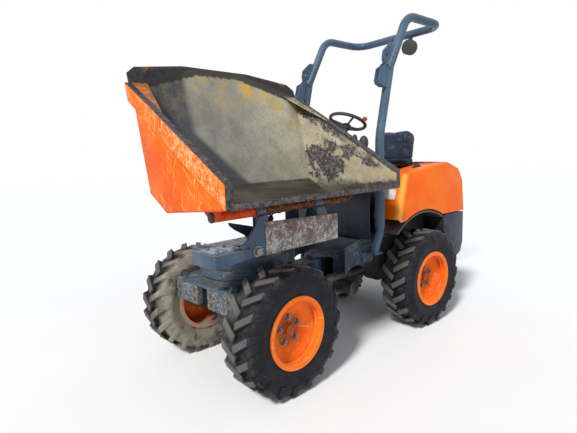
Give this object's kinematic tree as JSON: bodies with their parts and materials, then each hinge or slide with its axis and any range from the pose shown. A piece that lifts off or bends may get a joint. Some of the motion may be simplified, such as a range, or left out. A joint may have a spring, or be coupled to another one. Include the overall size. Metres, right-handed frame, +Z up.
{
  "type": "articulated site dumper with a swivel tipping skip",
  "caption": "Small articulated site dumper: two chassis halves on knobbly tyres, a swivel tipping skip, open driving seat and folding roll-over hoop.",
  "frame": {"origin": "on the ground under the middle of the overall box, as parked", "axes": "+X to the machine's own left, -Y ahead, +Z up"},
  "size_m": [1.4226, 2.7212, 2.3829],
  "materials": {
    "tyre_rubber": "matt black rubber, dusty in the tread",
    "rim_paint": "orange paint, chipped at the flange",
    "chassis_paint": "satin slate blue paint with splashed dirt and rust at the edges",
    "axle_paint": "dark paint under oily dirt",
    "ring_steel": "dark greasy machined steel",
    "panel_worn": "worn through to bare rusty steel",
    "skip_floor_worn": "paint scoured to grey steel and dried mortar",
    "skip_side_paint": "bright orange outside, scoured and rusty inside",
    "skip_back_paint": "orange outside, scoured inside",
    "skip_rim_paint": "orange paint worn to dark metal on its top edge",
    "skip_tube_paint": "red-brown primer",
    "ram_paint": "dark satin paint",
    "ram_chrome": "hard chrome",
    "footwell_paint": "satin slate blue paint, scuffed",
    "arch_rubber": "matt black",
    "counterweight_paint": "slate blue paint on cast iron",
    "engine_grey": "dark grey",
    "seat_vinyl": "black grained vinyl",
    "seat_box_paint": "black satin paint",
    "column_plastic": "matt black moulded cover",
    "wheel_plastic": "matt black",
    "lever_knobs": "black knobs",
    "filter_paint": "black gloss paint",
    "bonnet_paint": "orange gloss paint on glass fibre, dusty",
    "rops_paint": "satin slate blue paint",
    "lamp_plastic": "black housing with a clear lens"
  },
  "bodies": {
    "rear_chassis": {"rear_frame": "chassis_paint", "rear_axle": "axle_paint", "footwell": "footwell_paint", "wheel_arches": "arch_rubber", "counterweight": "counterweight_paint", "tow_hitch": "chassis_paint", "engine_block": "engine_grey", "seat_base": "seat_box_paint", "seat_cushion": "seat_vinyl", "seat_back": "seat_vinyl", "steering_column": "column_plastic", "steering_wheel": "wheel_plastic", "control_levers": "lever_knobs", "hydraulic_filter": "filter_paint", "rops_posts": "rops_paint"},
    "bonnet_lid": {"bonnet": "bonnet_paint"},
    "roll_hoop": {"rops_hoop": "rops_paint", "work_lamp": "lamp_plastic"},
    "front_chassis": {"front_deck": "chassis_paint", "front_rails": "chassis_paint", "front_tail": "chassis_paint", "front_guards": "chassis_paint", "front_axle": "axle_paint", "ring_lower": "ring_steel"},
    "swing": {"ring_upper": "ring_steel", "swing_frame": "chassis_paint", "swing_panel": "panel_worn"},
    "skip": {"skip_floor": "skip_floor_worn", "skip_side_left": "skip_side_paint", "skip_side_right": "skip_side_paint", "skip_back": "skip_back_paint", "skip_rim": "skip_rim_paint", "skip_hinge": "skip_tube_paint"},
    "tip_barrel": {"tip_ram_barrel": "ram_paint"},
    "tip_rod": {"tip_ram_rod": "ram_chrome"},
    "steer_barrel": {"steer_ram_barrel": "ram_paint"},
    "steer_rod": {"steer_ram_rod": "ram_chrome"},
    "wheel_front_left": {"tyre_front_left": "tyre_rubber", "rim_front_left": "rim_paint"},
    "wheel_front_right": {"tyre_front_right": "tyre_rubber", "rim_front_right": "rim_paint"},
    "wheel_rear_left": {"tyre_rear_left": "tyre_rubber", "rim_rear_left": "rim_paint"},
    "wheel_rear_right": {"tyre_rear_right": "tyre_rubber", "rim_rear_right": "rim_paint"}
  },
  "joints": [
    {"name": "steer", "type": "hinge", "parent": "rear_chassis", "child": "front_chassis", "pos_m": [-0.11326, -0.04441, 0.45], "axis": [0, 0, 1], "range_deg": [-28, 20]},
    {"name": "skip_swivel", "type": "hinge", "parent": "front_chassis", "child": "swing", "pos_m": [-0.06917, -0.67487, 0.7], "axis": [0, 0, 1], "range_deg": [-180, 0]},
    {"name": "skip_tip", "type": "hinge", "parent": "swing", "child": "skip", "pos_m": [0.34182, -0.64613, 1.078], "axis": [-0.0698, 0.9976, 0], "range_deg": [0, 75]},
    {"name": "tip_ram_swing", "type": "hinge", "parent": "swing", "child": "tip_barrel", "pos_m": [0.01263, -0.66915, 0.822], "axis": [-0.0698, 0.9976, 0], "range_deg": [-5.81, 0]},
    {"name": "tip_ram_slide", "type": "slide", "parent": "tip_barrel", "child": "tip_rod", "axis": [0.6369, 0.0445, 0.7696], "range_m": [0, 0.1777]},
    {"name": "steer_ram_swing", "type": "hinge", "parent": "rear_chassis", "child": "steer_barrel", "pos_m": [0.08674, 0.28559, 0.475], "axis": [0, 0, 1], "range_deg": [-12.86, 9.2]},
    {"name": "steer_ram_slide", "type": "slide", "parent": "steer_barrel", "child": "steer_rod", "axis": [0.032, -0.9995, 0], "range_m": [-0.0698, 0.0975]},
    {"name": "rops_fold", "type": "hinge", "parent": "rear_chassis", "child": "roll_hoop", "pos_m": [-0.11326, 0.30759, 1.98], "axis": [1, 0, 0], "range_deg": [0, 145]},
    {"name": "bonnet_open", "type": "hinge", "parent": "rear_chassis", "child": "bonnet_lid", "pos_m": [-0.11326, 1.29959, 0.852], "axis": [-1, 0, 0], "range_deg": [0, 60]},
    {"name": "wheel_front_left_spin", "type": "hinge", "parent": "front_chassis", "child": "wheel_front_left", "pos_m": [0.40357, -0.75509, 0.3825], "axis": [0.9976, 0.0698, 0], "continuous": true},
    {"name": "wheel_front_right_spin", "type": "hinge", "parent": "front_chassis", "child": "wheel_front_right", "pos_m": [-0.52616, -0.8201, 0.3825], "axis": [0.9976, 0.0698, 0], "continuous": true},
    {"name": "wheel_rear_left_spin", "type": "hinge", "parent": "rear_chassis", "child": "wheel_rear_left", "pos_m": [0.35274, 0.70059, 0.3825], "axis": [1, 0, 0], "continuous": true},
    {"name": "wheel_rear_right_spin", "type": "hinge", "parent": "rear_chassis", "child": "wheel_rear_right", "pos_m": [-0.57926, 0.70059, 0.3825], "axis": [1, 0, 0], "continuous": true}
  ],
  "couplings": [
    {"joint": "tip_ram_swing", "follows": "skip_tip", "ratio": -0.0768},
    {"joint": "tip_ram_slide", "follows": "skip_tip", "m_per_rad": 0.1354},
    {"joint": "steer_ram_swing", "follows": "steer", "ratio": 0.4576},
    {"joint": "steer_ram_slide", "follows": "steer", "m_per_rad": -0.1985}
  ]
}
